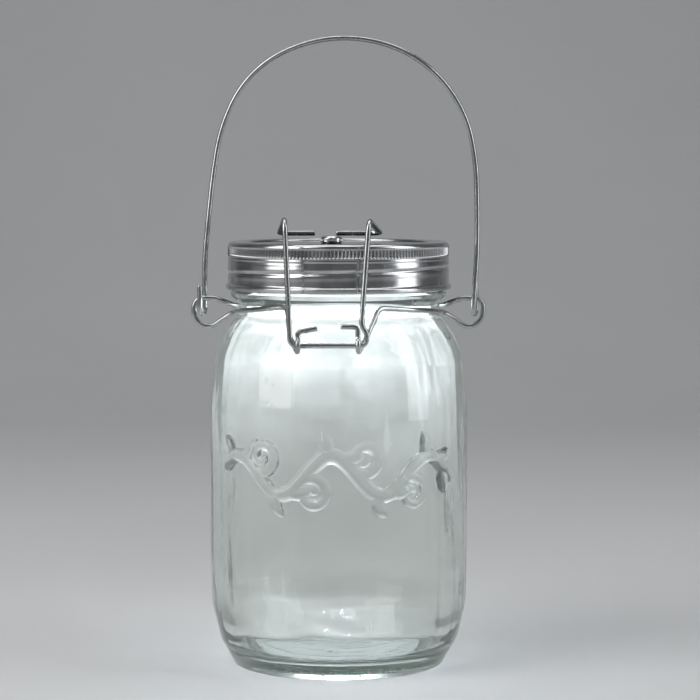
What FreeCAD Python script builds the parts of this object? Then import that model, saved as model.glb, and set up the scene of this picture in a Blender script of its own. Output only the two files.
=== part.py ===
# Mason jar lantern: a clear preserving jar with a wire harness (neck wire, front clip, carrying bail) and a screw
# band that holds a solar lamp puck. Millimetres, +Z up, origin on the jar's axis at the plane the base ring rests on,
# the clip faces -Y.
import FreeCAD, Part
import math
import os

import Sketcher

V = FreeCAD.Vector
doc = FreeCAD.newDocument("mason_jar_lantern")

# ---------------------------------------------------------------------------------------------------------------
# Driving dimensions
# ---------------------------------------------------------------------------------------------------------------
SIZES = [
    # the glass
    ("bodyradius", 51.15, "outer radius of the jar body"),
    ("rimheight", 166.6, "height of the glass sealing rim"),
    ("wall", 3.2, "glass wall"),
    ("baseringradius", 41.6, "outer radius of the ring the jar stands on"),
    ("baseringwidth", 3.2, "width of that ring"),
    ("pushup", 3.4, "height of the hollow under the base"),
    ("floorheight", 8.2, "inside floor of the jar"),
    ("mouthradius", 36.6, "inner radius of the mouth"),
    ("grooveradius", 39.2, "radius of the neck groove that the wire lies in"),
    ("beadradius", 43.0, "glass bead under the screw band"),
    ("finishradius", 41.0, "root radius of the glass finish"),
    ("crestradius", 42.6, "crest radius of the glass thread"),
    # the wires
    ("wireradius", 1.05, "radius of every steel wire"),
    ("ringradius", 40.4, "centre line radius of the neck wire"),
    ("eyeletheight", 145.5, "height of the straight upper strand of the side eyelets, the bail's axis"),
    ("eyeletreach", 57.5, "centre of the eyelet's outer strand from the jar's axis"),
    ("hookradius", 3.0, "centre line radius of the bail hooks"),
    ("hookdrop", 6.4, "depth of the hook below its axis"),
    ("clipy", 50.5, "distance of the clip's bottom bar in front of the jar's axis"),
    ("clipheight", 130.2, "height of the clip's bottom bar, the clip's axis"),
    ("clipcentre", 3.8, "offset of the clip's middle to the left of the jar's axis"),
    ("cliphalf", 14.2, "half the distance between the clip's two arms at the bar"),
    ("eyeradius", 2.3, "centre line radius of the neck wire's eyes round the bar"),
    ("rodheight", 171.5, "height of the clip's two inward rods over the lid"),
    # the screw band
    ("bandradius", 43.9, "outer radius of the band's skirt"),
    ("bandsheet", 0.5, "sheet thickness of the band"),
    ("bandtop", 168.1, "top of the band"),
    ("bandbottom", 149.4, "lower edge of the band"),
    ("bandbead", 44.8, "outer radius of the rolled lower bead"),
    ("bandopening", 35.8, "radius of the opening in the band's flange"),
    # the lamp puck
    ("puckradius", 34.0, "outer radius of the lamp housing"),
    ("puckwall", 1.6, "wall of the lamp housing"),
    ("puckbottom", 147.0, "underside of the housing's base cover"),
    ("basethick", 1.6, "thickness of the base cover"),
    ("coverradius", 35.2, "radius of the clear window"),
    ("covertop", 167.5, "top of the clear window"),
    ("coverthick", 1.2, "thickness of the clear window"),
    ("cellgap", 0.8, "gap between neighbouring cells"),
    ("cellside", 21.6, "side of one solar cell"),
    ("ledpitch", 13.0, "distance of each lamp from the two middle planes"),
    ("ledradius", 2.5, "radius of a lamp's dome"),
    ("boardlength", 52.0, "length of the circuit board"),
    ("boardwidth", 34.0, "width of the circuit board"),
    ("boardthick", 1.6, "thickness of the circuit board"),
    ("boardheight", 149.6, "underside of the circuit board"),
    ("cellradius", 5.25, "radius of the rechargeable battery"),
    ("celllength", 44.5, "length of the rechargeable battery"),
    ("batteryheight", 156.75, "height of the battery's axis"),
    ("bossreach", 20.5, "distance of each cover screw from the two middle planes"),
    ("boardboss", 13.8, "distance of each board screw from the middle"),
    ("magnetradius", 4.4, "radius of the switch magnet"),
    ("magnettop", 170.2, "top of the switch magnet"),
    ("magnetoffset", 2.8, "offset of the switch magnet to the left of the jar's axis"),
]

sheet = doc.addObject("Spreadsheet::Sheet", "dims")
for row, (alias, value, what) in enumerate(SIZES, 1):
    sheet.set("A%d" % row, what)
    sheet.set("B%d" % row, str(value))
    sheet.setAlias("B%d" % row, alias)
doc.recompute()


class Size:
    """A length that knows its value and the sheet expression that gives it."""

    def __init__(self, value, text):
        self.value, self.text = float(value), text

    def _op(self, other, sign, flip=False):
        o = size(other)
        a, b = (o, self) if flip else (self, o)
        value = {"+": a.value + b.value, "-": a.value - b.value, "*": a.value * b.value}.get(sign)
        if sign == "/":
            value = a.value / b.value
        return Size(value, "(%s %s %s)" % (a.text, sign, b.text))

    def __add__(self, o):
        return self._op(o, "+")

    def __radd__(self, o):
        return self._op(o, "+", True)

    def __sub__(self, o):
        return self._op(o, "-")

    def __rsub__(self, o):
        return self._op(o, "-", True)

    def __mul__(self, o):
        return self._op(o, "*")

    def __rmul__(self, o):
        return self._op(o, "*", True)

    def __truediv__(self, o):
        return self._op(o, "/")

    def __neg__(self):
        return self._op(0.0, "-", True)

    def __float__(self):
        return self.value


def size(x):
    return x if isinstance(x, Size) else Size(x, "%.6f" % x)


D = {alias: Size(sheet.get("B%d" % row), "dims." + alias) for row, (alias, _, _) in enumerate(SIZES, 1)}
nodes = {}


def node(obj, name):
    obj.Label = name
    nodes[name] = obj
    return obj


def bind(obj, prop, x):
    obj.setExpression(prop, size(x).text)


# ---------------------------------------------------------------------------------------------------------------
# Sketches and solids of revolution
# ---------------------------------------------------------------------------------------------------------------
def origin_plane(body, role):
    for f in body.Origin.OriginFeatures:
        if f.Role == role:
            return f
    raise RuntimeError("no plane " + role)


def new_body(name):
    body = doc.addObject("PartDesign::Body", name)
    return body


def outline(body, name, role, corners, lift=None):
    """A closed outline of straight sides with rounded corners. corners: (x, y[, corner radius])."""
    sk = body.newObject("Sketcher::SketchObject", name)
    sk.AttachmentSupport = [(origin_plane(body, role), "")]
    sk.MapMode = "FlatFace"
    if lift is not None:
        sk.AttachmentOffset = FreeCAD.Placement(V(0, 0, float(lift)), FreeCAD.Rotation())
        bind(sk, "AttachmentOffset.Base.z", lift)
    pts = [(size(c[0]), size(c[1]), size(c[2]) if len(c) > 2 else None) for c in corners]
    n = len(pts)
    P = [V(p[0].value, p[1].value, 0) for p in pts]
    cut = []
    for i in range(n):
        r = pts[i][2]
        if r is None:
            cut.append((P[i], P[i], None))
            continue
        a = (P[i - 1] - P[i]).normalize()
        b = (P[(i + 1) % n] - P[i]).normalize()
        half = a.getAngle(b) / 2
        reach = r.value / math.tan(half)
        mid = (a + b).normalize()
        centre = P[i] + mid * (r.value / math.sin(half))
        cut.append((P[i] + a * reach, P[i] + b * reach, centre))
    geo, cons, named = [], [], []
    lines = []
    for i in range(n):
        start, end = cut[i][1], cut[(i + 1) % n][0]
        lines.append(len(geo))
        geo.append(Part.LineSegment(start, end))
    arcs = {}
    for i in range(n):
        if pts[i][2] is None:
            continue
        p_in, p_out, c = cut[i]
        a_in = math.atan2(p_in.y - c.y, p_in.x - c.x)
        a_out = math.atan2(p_out.y - c.y, p_out.x - c.x)
        turn = (a_out - a_in + math.pi) % (2 * math.pi) - math.pi
        ccw = turn > 0
        a0, a1 = (a_in, a_out) if ccw else (a_out, a_in)
        if a1 < a0:
            a1 += 2 * math.pi
        arcs[i] = (len(geo), ccw)
        geo.append(Part.ArcOfCircle(Part.Circle(c, V(0, 0, 1), pts[i][2].value), a0, a1))
    sk.addGeometry(geo, False)
    marks = {}
    for i in range(n):
        if i in arcs:
            marks[i] = sk.addGeometry(Part.Point(P[i]), True)
    for i in range(n):
        before, after = lines[i - 1], lines[i]
        if i in arcs:
            g, ccw = arcs[i]
            cons.append(Sketcher.Constraint("Tangent", before, 2, g, 1 if ccw else 2))
            cons.append(Sketcher.Constraint("Tangent", after, 1, g, 2 if ccw else 1))
            named.append((len(cons), pts[i][2]))
            cons.append(Sketcher.Constraint("Radius", g, pts[i][2].value))
            cons.append(Sketcher.Constraint("PointOnObject", marks[i], 1, before))
            cons.append(Sketcher.Constraint("PointOnObject", marks[i], 1, after))
            at = (marks[i], 1)
        else:
            cons.append(Sketcher.Constraint("Coincident", before, 2, after, 1))
            at = (after, 1)
        for k, kind, axis in ((0, "DistanceX", -2), (1, "DistanceY", -1)):
            x = pts[i][k]
            if abs(x.value) < 1e-9 and x.text.startswith("0.0"):
                cons.append(Sketcher.Constraint("PointOnObject", at[0], at[1], axis))
            else:
                named.append((len(cons), x))
                cons.append(Sketcher.Constraint(kind, -1, 1, at[0], at[1], x.value))
    sk.addConstraint(cons)
    for i, x in named:
        if "dims." in x.text:
            bind(sk, "Constraints[%d]" % i, x)
    return sk


def turned(name, corners):
    """A solid of revolution about the vertical axis of its own body."""
    body = new_body(name + "_body")
    sk = outline(body, name + "_profile", "XZ_Plane", corners)
    rev = body.newObject("PartDesign::Revolution", name + "_turn")
    rev.Profile = sk
    rev.ReferenceAxis = (sk, ["V_Axis"])
    rev.Angle = 360.0
    doc.recompute()
    return body


def plate(name, corners, lift, thick):
    """A flat plate of the given outline, from the height lift upwards."""
    body = new_body(name + "_body")
    sk = outline(body, name + "_outline", "XY_Plane", corners, lift)
    pad = body.newObject("PartDesign::Pad", name + "_pad")
    pad.Profile = sk
    pad.Length = float(thick)
    bind(pad, "Length", thick)
    doc.recompute()
    return body


def cylinder(name, r, height, at, axis="Z"):
    c = doc.addObject("Part::Cylinder", name)
    c.Radius, c.Height = float(r), float(height)
    bind(c, "Radius", r)
    bind(c, "Height", height)
    rot = {"Z": FreeCAD.Rotation(), "X": FreeCAD.Rotation(V(0, 1, 0), 90), "Y": FreeCAD.Rotation(V(1, 0, 0), -90)}[axis]
    c.Placement = FreeCAD.Placement(V(*[float(x) for x in at]), rot)
    for k, x in zip("xyz", at):
        if isinstance(x, Size):
            bind(c, "Placement.Base." + k, x)
    return c


def block(name, dims, at):
    b = doc.addObject("Part::Box", name)
    for prop, x in zip(("Length", "Width", "Height"), dims):
        setattr(b, prop, float(x))
        bind(b, prop, x)
    b.Placement = FreeCAD.Placement(V(*[float(x) for x in at]), FreeCAD.Rotation())
    for k, x in zip("xyz", at):
        if isinstance(x, Size):
            bind(b, "Placement.Base." + k, x)
    return b


def fused(name, parts):
    f = doc.addObject("Part::MultiFuse", name)
    f.Shapes = parts
    return f


def cut_from(name, base, tools):
    tool = tools[0] if len(tools) == 1 else fused(name + "_tools", tools)
    c = doc.addObject("Part::Cut", name)
    c.Base, c.Tool = base, tool
    return c


# ---------------------------------------------------------------------------------------------------------------
# Bent wires: straight runs joined by tangent arcs, swept with a round section
# ---------------------------------------------------------------------------------------------------------------
def bent_path(points, radii):
    """A wire through straight runs with an arc at each inner point, and its length. A radius of None takes as large
    an arc as the two runs leave room for."""
    P = [V(*[float(x) for x in p]) for p in points]
    n = len(P)
    length = [(P[i + 1] - P[i]).Length for i in range(n - 1)]
    ends = [(P[0], P[0], None)]
    for i in range(1, n - 1):
        a = (P[i - 1] - P[i]).normalize()
        b = (P[i + 1] - P[i]).normalize()
        half = a.getAngle(b) / 2
        if half > math.pi / 2 - 1e-4:
            ends.append((P[i], P[i], None))
            continue
        left = length[i - 1] * (0.5 if i > 1 else 0.97)
        right = length[i] * (0.5 if i < n - 2 else 0.97)
        room = min(left, right) * 0.999 * math.tan(half)
        r = room if radii[i] is None else min(float(radii[i]), room)
        reach = r / math.tan(half)
        mid = (a + b).normalize()
        centre = P[i] + mid * (r / math.sin(half))
        on = centre - mid * r
        ends.append((P[i] + a * reach, P[i] + b * reach, on))
    ends.append((P[-1], P[-1], None))
    edges = []
    for i in range(n - 1):
        s, e = ends[i][1], ends[i + 1][0]
        if (e - s).Length > 1e-5:
            edges.append(Part.LineSegment(s, e).toShape())
        if ends[i + 1][2] is not None:
            edges.append(Part.Arc(ends[i + 1][0], ends[i + 1][2], ends[i + 1][1]).toShape())
    wire = Part.Wire(edges)
    return wire, sum(e.Length for e in edges)


def bent_wire(name, points, radii, r):
    wire, length = bent_path(points, radii)
    spine = doc.addObject("Part::Feature", name + "_line")
    spine.Shape = wire
    first = wire.Edges[0]
    start = V(*[float(x) for x in points[0]])
    along = (V(*[float(x) for x in points[1]]) - start).normalize()
    section = doc.addObject("Part::Circle", name + "_section")
    section.Radius = float(r)
    bind(section, "Radius", r)
    section.Placement = FreeCAD.Placement(start, FreeCAD.Rotation(V(0, 0, 1), along))
    sweep = doc.addObject("Part::Sweep", name + "_sweep")
    sweep.Sections = [section]
    sweep.Spine = (spine, ["Edge%d" % (i + 1) for i in range(len(wire.Edges))])
    sweep.Solid = True
    sweep.Frenet = False
    doc.recompute()
    want = math.pi * float(r) ** 2 * length
    got = sweep.Shape.Volume
    print("%s: length %.1f mm, volume %.1f of %.1f mm3" % (name, length, got, want))
    if abs(got - want) > 0.01 * want:
        raise RuntimeError("the sweep of %s doesn't have its section's volume" % name)
    return sweep


# ---------------------------------------------------------------------------------------------------------------
# The jar
# ---------------------------------------------------------------------------------------------------------------
body_r, rim = D["bodyradius"], D["rimheight"]
inner = body_r - D["wall"]
ring = D["baseringradius"]
groove, bead = D["grooveradius"], D["beadradius"]
finish, crest = D["finishradius"], D["crestradius"]
mouth = D["mouthradius"]
jar = turned(
    "glass_jar",
    [
        (0, D["pushup"]),
        (ring - D["baseringwidth"] - 4.0, D["pushup"], 2.0),
        (ring - D["baseringwidth"], 0),
        (ring, 0, 1.2),
        (ring + 5.6, 9.6, 14.0),
        (body_r - 0.35, 25.0, 40.0),
        (body_r, 45.0, 90.0),
        (body_r, 103.0, 60.0),
        (body_r - 2.2, 125.0, 16.0),
        (body_r - 5.4, 131.6, 20.0),
        (groove + 2.5, 137.4, 2.5),
        (groove, 139.4, 1.2),
        (groove, 143.6, 1.2),
        (bead - 0.4, 146.6, 1.0),
        (bead, 148.2, 0.8),
        (bead - 0.4, 149.2, 0.5),
        (finish, 149.6, 0.4),
        (finish, 153.4, 0.5),
        (crest, 154.4, 0.5),
        (crest, 155.2, 0.5),
        (finish, 156.2, 0.5),
        (finish, 158.4, 0.5),
        (crest, 159.4, 0.5),
        (crest, 160.2, 0.5),
        (finish, 161.2, 0.5),
        (finish, rim, 0.9),
        (mouth, rim, 0.9),
        (mouth, 139.4, 6.0),
        (mouth + 5.0, 131.5, 14.0),
        (inner - 2.6, 122.0, 16.0),
        (inner, 104.0, 60.0),
        (inner, 34.0, 60.0),
        (inner - 1.6, 17.0, 14.0),
        (ring - 2.0, D["floorheight"] + 0.6, 12.0),
        (0, D["floorheight"]),
    ],
)
node(jar, "glass_jar")

# ---------------------------------------------------------------------------------------------------------------
# The three wires
# ---------------------------------------------------------------------------------------------------------------
w = D["wireradius"]
ring_r = float(D["ringradius"])
ez, ex = float(D["eyeletheight"]), float(D["eyeletreach"])
cy, cz, cx, ch = -float(D["clipy"]), float(D["clipheight"]), -float(D["clipcentre"]), float(D["cliphalf"])
er = float(D["eyeradius"])


def ring_point(angle, radius, z):
    a = math.radians(angle)
    return (radius * math.cos(a), radius * math.sin(a), z)


def eyelet(side, low_first):
    """The side eyelet's points from its lower, front strand to its upper, back strand."""
    s = side
    pts = [
        ((s * 41.6, -2.4, 140.1), 3.0),
        ((s * 44.6, -0.8, 138.2), None),
        ((s * 51.4, 0, 133.35), 5.5),
        ((s * (ex - 0.05), 0, 136.5), 5.5),
        ((s * ex, 0, ez), 3.6),
        ((s * 49.0, 0, ez), 6.0),
        ((s * 44.9, 0.6, 143.9), None),
        ((s * 41.2, 2.3, 142.3), 3.0),
    ]
    return pts if low_first else pts[::-1]


neck = []
# tail and eye on the left of the bar, then up and back to the neck
neck += [
    ((-7.8, -48.0, 136.6), None),
    ((-15.3, -48.0, 135.2), 1.6),
    ((-15.0, cy + er, cz + er), 1.0),
    ((-15.1, cy - er, cz + er), er),
    ((-15.2, cy - er, cz - er), er),
    ((-15.7, cy + er, cz - er), 2.2),
    ((-18.2, -47.7, 133.6), 6.0),
    ((-19.4, -39.6, 144.3), 4.0),
]
# the left front quarter of the ring, falling to the side
neck += [
    (ring_point(226, 43.6, 142.9), None),
    (ring_point(205, 42.4, 141.4), None),
]
neck += eyelet(-1, True)
# the back half of the ring
neck += [(ring_point(a, ring_r / math.cos(math.radians(15)), z), None) for a, z in ((165, 142.2), (135, 141.4), (105, 141.0), (75, 141.0), (45, 141.4), (15, 142.2))]
neck += eyelet(1, False)
# the right front quarter, rising a little
neck += [
    (ring_point(335, 42.4, 141.3), None),
    (ring_point(315, 43.2, 142.5), None),
    ((15.8, -39.4, 143.7), 4.0),
    ((11.3, -47.4, 134.2), 6.0),
    ((8.2, cy + er, cz - er), 2.2),
    ((7.7, cy - er, cz - er), er),
    ((7.6, cy - er, cz + er), er),
    ((7.6, cy + er, cz + er), 1.0),
    ((7.6, -48.0, 137.2), 1.8),
    ((1.0, -48.0, 137.2), None),
]
node(bent_wire("neck_wire", [p for p, _ in neck], [r for _, r in neck], w), "neck_wire")

rod = float(D["rodheight"])
clip = [
    ((-9.2, -5.0, rod), None),
    ((-23.4, -5.0, rod), 3.6),
    ((-20.2, -48.0, 178.1), 4.2),
    ((cx - ch, cy, cz), 2.6),
    ((cx + ch + 0.4, cy, cz), 2.4),
    ((cx + ch + 0.5, cy, cz + 4.6), 2.4),
    ((8.9, -50.0, cz + 7.8), 6.0),
    ((11.8, -48.0, 177.6), 4.2),
    ((16.8, -5.0, rod), 3.6),
    ((-0.9, -5.0, rod), None),
]
node(bent_wire("front_clip", [p for p, _ in clip], [r for _, r in clip], w), "front_clip")

hr, hd = float(D["hookradius"]), float(D["hookdrop"])
bail = [
    ((-55.0, -hr, ez + 5.4), None),
    ((-54.9, -hr, ez - hd), hr),
    ((-53.2, hr, ez - hd), hr),
    ((-53.4, hr, 160.0), None),
    ((-51.9, 2.9, 176.0), None),
    ((-49.7, 2.8, 196.0), None),
    ((-46.8, 2.6, 212.4), None),
    ((-39.4, 2.2, 229.0), None),
    ((-26.6, 1.5, 241.2), None),
    ((-9.0, 0.5, 247.8), None),
    ((8.4, -0.4, 248.6), None),
    ((25.8, -1.4, 243.9), None),
    ((40.6, -2.2, 233.0), None),
    ((50.6, -2.8, 217.6), None),
    ((54.4, -3.0, 200.0), None),
    ((55.0, -3.0, 180.0), None),
    ((54.9, -3.0, 163.0), None),
    ((54.0, -hr, 150.0), None),
    ((53.4, -hr, ez - hd), hr),
    ((54.9, hr, ez - hd), hr),
    ((55.0, hr, ez + 5.4), None),
]
node(bent_wire("bail_handle", [p for p, _ in bail], [r for _, r in bail], w), "bail_handle")

# ---------------------------------------------------------------------------------------------------------------
# The screw band and the seal
# ---------------------------------------------------------------------------------------------------------------
br, sheet_t, top, bottom = D["bandradius"], D["bandsheet"], D["bandtop"], D["bandbottom"]
bb, bo = D["bandbead"], D["bandopening"]
band = turned(
    "lid_band",
    [
        (bo, top - sheet_t),
        (br - 0.05 - sheet_t, top - sheet_t, 1.2),
        (br - sheet_t, top - 6.4, 1.0),
        (br - sheet_t, bottom + 1.9, 0.4),
        (bb - sheet_t - 0.5, bottom + 1.3, 0.4),
        (bb - sheet_t - 0.5, bottom, 0.2),
        (bb - 0.1, bottom, 0.4),
        (bb, bottom + 1.5, 0.5),
        (br, bottom + 2.3, 0.6),
        (br, top - 6.4, 1.4),
        (br - 0.05, top, 1.7),
        (bo, top),
    ],
)
node(band, "lid_band")

seal = turned(
    "seal_ring",
    [
        (mouth + 1.3, rim + 0.05),
        (finish + 0.5, rim + 0.05),
        (finish + 0.5, rim + 0.45),
        (mouth + 1.3, rim + 0.45),
    ],
)
node(seal, "seal_ring")

# ---------------------------------------------------------------------------------------------------------------
# The lamp puck: housing with an upper pocket for the cells and a lower chamber for the works
# ---------------------------------------------------------------------------------------------------------------
pr, pw = D["puckradius"], D["puckwall"]
flange_under = rim + 0.45
flange_top = top - sheet_t - 0.05
cov_t, cov_top, cov_r = D["coverthick"], D["covertop"], D["coverradius"]
base_top = D["puckbottom"] + D["basethick"]
deck = Size(164.6, "164.6")
under = Size(163.4, "163.4")
shell = turned(
    "housing_shell",
    [
        (pr - pw, base_top + 0.02),
        (pr, base_top + 0.02),
        (pr, 162.9, 1.5),
        (pr + 2.0, 164.9, 1.0),
        (pr + 2.0, flange_under),
        (finish + 1.4, flange_under),
        (finish + 1.4, flange_top, 0.2),
        (cov_r + 0.1, flange_top),
        (cov_r + 0.1, cov_top - cov_t - 0.02),
        (pr - 0.6, cov_top - cov_t - 0.02),
        (pr - 0.6, deck),
        (0, deck),
        (0, under),
        (pr - pw, under, 1.0),
    ],
)
bosses = []
b = D["bossreach"]
for i, (sx, sy) in enumerate(((1, 1), (-1, 1), (-1, -1), (1, -1))):
    bosses.append(cylinder("boss_%d" % i, 2.7, under - base_top + 0.2, (b * sx, b * sy, base_top + 0.02)))
posts = []
board_top = D["boardheight"] + D["boardthick"]
for i, sy in enumerate((1, -1)):
    posts.append(cylinder("post_%d" % i, 2.6, under - board_top + 0.15, (0, D["boardboss"] * sy, board_top + 0.02)))
solid_shell = fused("housing_fuse", [shell] + bosses + posts)
pilot = []
for i, (sx, sy) in enumerate(((1, 1), (-1, 1), (-1, -1), (1, -1))):
    pilot.append(cylinder("pilot_%d" % i, 1.15, 9.0, (b * sx, b * sy, base_top - 1.0)))
for i, sy in enumerate((1, -1)):
    pilot.append(cylinder("post_pilot_%d" % i, 1.05, 7.0, (0, D["boardboss"] * sy, board_top - 0.5)))
for i, y in enumerate((11.5, 8.5)):
    pilot.append(cylinder("lead_hole_%d" % i, 0.9, 3.0, (-22.0, y, 162.5)))
node(cut_from("lamp_housing", solid_shell, pilot), "lamp_housing")

# clear window over the cells
cover = turned(
    "solar_cover",
    [
        (0, cov_top - cov_t),
        (cov_r, cov_top - cov_t),
        (cov_r, cov_top, 0.3),
        (0, cov_top),
    ],
)
node(cover, "solar_cover")

# backing plate and the four cells
plate_r = pr - 0.9
plate_body = turned(
    "cell_plate",
    [(0, deck + 0.03), (plate_r, deck + 0.03), (plate_r, deck + 0.93), (0, deck + 0.93)],
)
lead_slots = [cylinder("plate_hole_%d" % i, 0.9, 3.0, (-22.0, y, 163.7)) for i, y in enumerate((11.5, 8.5))]
node(cut_from("cell_plate", plate_body, lead_slots), "cell_plate")

cs, cg = D["cellside"], D["cellgap"]
cell_parts = []
for i, (sx, sy) in enumerate(((0, 0), (-1, 0), (-1, -1), (0, -1))):
    x0 = cg / 2 if sx == 0 else -(cs + cg / 2)
    y0 = cg / 2 if sy == 0 else -(cs + cg / 2)
    cell_parts.append(block("cell_%d" % i, (cs, cs, 0.4), (x0, y0, deck + 0.96)))
cells = doc.addObject("Part::Compound", "cells")
cells.Links = cell_parts
node(cells, "solar_cells")

# base cover with four lamp holes and four counterbored screw holes
base_body = turned(
    "housing_base",
    [
        (0, D["puckbottom"]),
        (pr, D["puckbottom"], 0.6),
        (pr, base_top),
        (0, base_top),
    ],
)
holes = []
lp = D["ledpitch"]
for i, (sx, sy) in enumerate(((1, 1), (-1, 1), (-1, -1), (1, -1))):
    holes.append(cylinder("lamp_hole_%d" % i, D["ledradius"] + 0.2, 3.0, (lp * sx, lp * sy, D["puckbottom"] - 0.7)))
    holes.append(cylinder("screw_hole_%d" % i, 1.3, 3.0, (b * sx, b * sy, D["puckbottom"] - 0.7)))
    holes.append(cylinder("screw_seat_%d" % i, 2.5, 1.0, (b * sx, b * sy, D["puckbottom"] - 0.1)))
node(cut_from("housing_base", base_body, holes), "housing_base")


def lamp(name, sx, sy):
    """A domed lamp that points down: dome, flange and two leads."""
    r = D["ledradius"]
    tip = D["puckbottom"] - 2.4
    body = turned(
        name + "_dome",
        [
            (0, tip),
            (r, tip, 2.4),
            (r, base_top + 0.15),
            (r + 0.4, base_top + 0.15),
            (r + 0.4, D["boardheight"] - 0.03),
            (0, D["boardheight"] - 0.03),
        ],
    )
    body.Placement = FreeCAD.Placement(V(sx * float(lp), sy * float(lp), 0), FreeCAD.Rotation())
    bind(body, "Placement.Base.x", lp * sx)
    bind(body, "Placement.Base.y", lp * sy)
    legs = [
        cylinder("%s_lead_%d" % (name, k), 0.28, D["boardthick"] + 1.1, (lp * sx + dx, lp * sy, D["boardheight"] - 0.1))
        for k, dx in enumerate((-1.27, 1.27))
    ]
    return node(fused(name, [body] + legs), name)


for name, sx, sy in (("led_front_left", -1, -1), ("led_front_right", 1, -1), ("led_back_left", -1, 1), ("led_back_right", 1, 1)):
    lamp(name, sx, sy)

# circuit board with holes for the lamp leads and the two screws
bl, bw = D["boardlength"], D["boardwidth"]
board_body = plate(
    "circuit_board",
    [(-(bl / 2), -(bw / 2), 3.0), (bl / 2, -(bw / 2), 3.0), (bl / 2, bw / 2, 3.0), (-(bl / 2), bw / 2, 3.0)],
    D["boardheight"],
    D["boardthick"],
)
board_holes = []
for i, (sx, sy) in enumerate(((1, 1), (-1, 1), (-1, -1), (1, -1))):
    for k, dx in enumerate((-1.27, 1.27)):
        board_holes.append(cylinder("board_lead_%d_%d" % (i, k), 0.32, 4.0, (lp * sx + dx, lp * sy, D["boardheight"] - 1.0)))
for i, sy in enumerate((1, -1)):
    board_holes.append(cylinder("board_screw_%d" % i, 1.2, 4.0, (0, D["boardboss"] * sy, D["boardheight"] - 1.0)))
node(cut_from("circuit_board", board_body, board_holes), "circuit_board")

# charge controller: a flat chip with six bent legs, and the coil beside it
chip = [block("chip_case", (5.0, 4.0, 1.5), (5.0, -11.4, board_top + 0.15))]
for k in range(3):
    for j, y in enumerate((-12.2, -7.5)):
        chip.append(block("chip_leg_%d_%d" % (k, j), (0.4, 0.9, 0.62), (5.55 + 1.75 * k, y, board_top + 0.02)))
node(fused("charge_controller", chip), "charge_controller")
coil_core = cylinder("coil_core", 1.3, 6.0, (-12.0, -9.0, board_top + 1.5), "X")
coil_lead_a = cylinder("coil_lead_a", 0.25, 1.6, (-11.4, -9.0, board_top + 0.02))
coil_lead_b = cylinder("coil_lead_b", 0.25, 1.6, (-6.6, -9.0, board_top + 0.02))
node(fused("inductor", [coil_core, coil_lead_a, coil_lead_b]), "inductor")

# reed switch: a glass capsule on two bent leads, level with the magnet's field
reed = [cylinder("reed_glass", 1.1, 14.0, (-9.0, 8.3, 160.6), "X")]
reed.append(cylinder("reed_wire", 0.3, 18.8, (-11.4, 8.3, 160.6), "X"))
for k, x in enumerate((-11.0, 7.0)):
    reed.append(cylinder("reed_leg_%d" % k, 0.24, Size(160.6, "160.6") - board_top - 0.02, (x, 8.3, board_top + 0.02)))
node(fused("reed_switch", reed), "reed_switch")

# rechargeable battery lying along X, its positive cap to the right
cr, cl, bh = D["cellradius"], D["celllength"], D["batteryheight"]
battery = turned(
    "battery",
    [
        (0, 0),
        (cr, 0, 0.5),
        (cr, cl - 1.0, 0.5),
        (1.9, cl - 1.0),
        (1.9, cl, 0.3),
        (0, cl),
    ],
)
battery.Placement = FreeCAD.Placement(V(-float(cl) / 2, 0, float(bh)), FreeCAD.Rotation(V(0, 1, 0), 90))
bind(battery, "Placement.Base.x", -(cl / 2))
bind(battery, "Placement.Base.z", bh)
node(battery, "battery")

# contacts: a plain blade at the positive end, a blade with a cone spring at the negative end
plus = [
    block("plus_blade", (0.4, 7.0, 8.6), (cl / 2 + 0.05, -3.5, board_top + 0.02)),
    block("plus_foot", (2.2, 7.0, 0.4), (cl / 2 + 0.05, -3.5, board_top + 0.02)),
]
node(fused("battery_contact_plus", plus), "battery_contact_plus")
minus = [
    block("minus_blade", (0.4, 7.0, 8.6), (-(cl / 2) - 2.6, -3.5, board_top + 0.02)),
    block("minus_foot", (2.2, 7.0, 0.4), (-(cl / 2) - 2.6, -3.5, board_top + 0.02)),
]
spring = doc.addObject("Part::Feature", "minus_spring")
coil_pts, turns = [], 2.5
for k in range(int(turns * 12) + 1):
    a = 2 * math.pi * k / 12
    f = k / (turns * 12)
    rr = 2.9 - 1.2 * f
    coil_pts.append(V(-float(cl) / 2 - 2.0 + 1.45 * f, rr * math.cos(a), float(bh) + rr * math.sin(a)))
coil_line = Part.Wire([Part.LineSegment(coil_pts[k], coil_pts[k + 1]).toShape() for k in range(len(coil_pts) - 1)])
pieces = []
for k in range(len(coil_pts) - 1):
    d = coil_pts[k + 1] - coil_pts[k]
    pieces.append(Part.makeCylinder(0.25, d.Length, coil_pts[k], d))
    pieces.append(Part.makeSphere(0.25, coil_pts[k + 1]))
spring.Shape = pieces[0].multiFuse(pieces[1:]).removeSplitter()
stub = cylinder("minus_stub", 0.25, 0.6, (-(cl / 2) - 2.3, 2.9, bh), "X")
node(fused("battery_contact_minus", minus + [spring, stub]), "battery_contact_minus")

# fasteners
def screw(name, x, y, head_z, head_r, head_t, shank_r, length):
    head = cylinder(name + "_head", head_r, head_t, (x, y, head_z))
    shank = cylinder(name + "_shank", shank_r, length, (x, y, head_z))
    slot_a = block(name + "_slot_a", (2.0, 0.5, 0.45), (size(x) - 1.0, size(y) - 0.25, size(head_z) - 0.01))
    slot_b = block(name + "_slot_b", (0.5, 2.0, 0.45), (size(x) - 0.25, size(y) - 1.0, size(head_z) - 0.01))
    return cut_from(name, fused(name + "_blank", [head, shank]), [slot_a, slot_b])


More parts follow.
